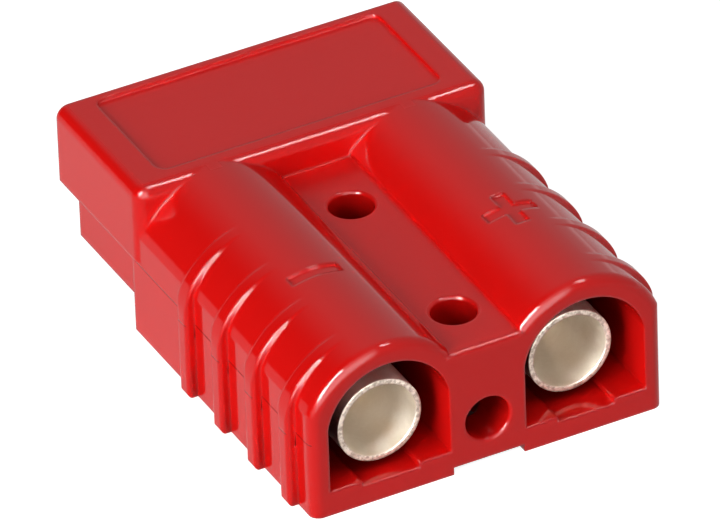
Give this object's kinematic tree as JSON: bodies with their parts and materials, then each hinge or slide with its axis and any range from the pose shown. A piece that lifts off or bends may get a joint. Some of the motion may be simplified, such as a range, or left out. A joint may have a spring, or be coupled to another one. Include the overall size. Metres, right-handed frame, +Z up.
{
  "type": "genderless power connector",
  "caption": "Red genderless power connector: a moulded housing with hood and tongue, crimp contacts for heavy cable, and leaf springs that press the blades together.",
  "frame": {"origin": "middle of the underside, halfway along the length", "axes": "+Y out of the mating face, +Z up, +X towards the positive pole"},
  "size_m": [0.0364, 0.0478, 0.0158],
  "materials": {
    "red_polycarbonate": "moulded, semi-gloss",
    "silver_plated_copper": "satin silver plating over copper",
    "spring_steel": "plain stainless"
  },
  "bodies": {
    "root": {"housing": "red_polycarbonate", "contact_positive": "silver_plated_copper", "contact_negative": "silver_plated_copper", "spring_positive": "spring_steel", "spring_negative": "spring_steel"}
  },
  "joints": []
}
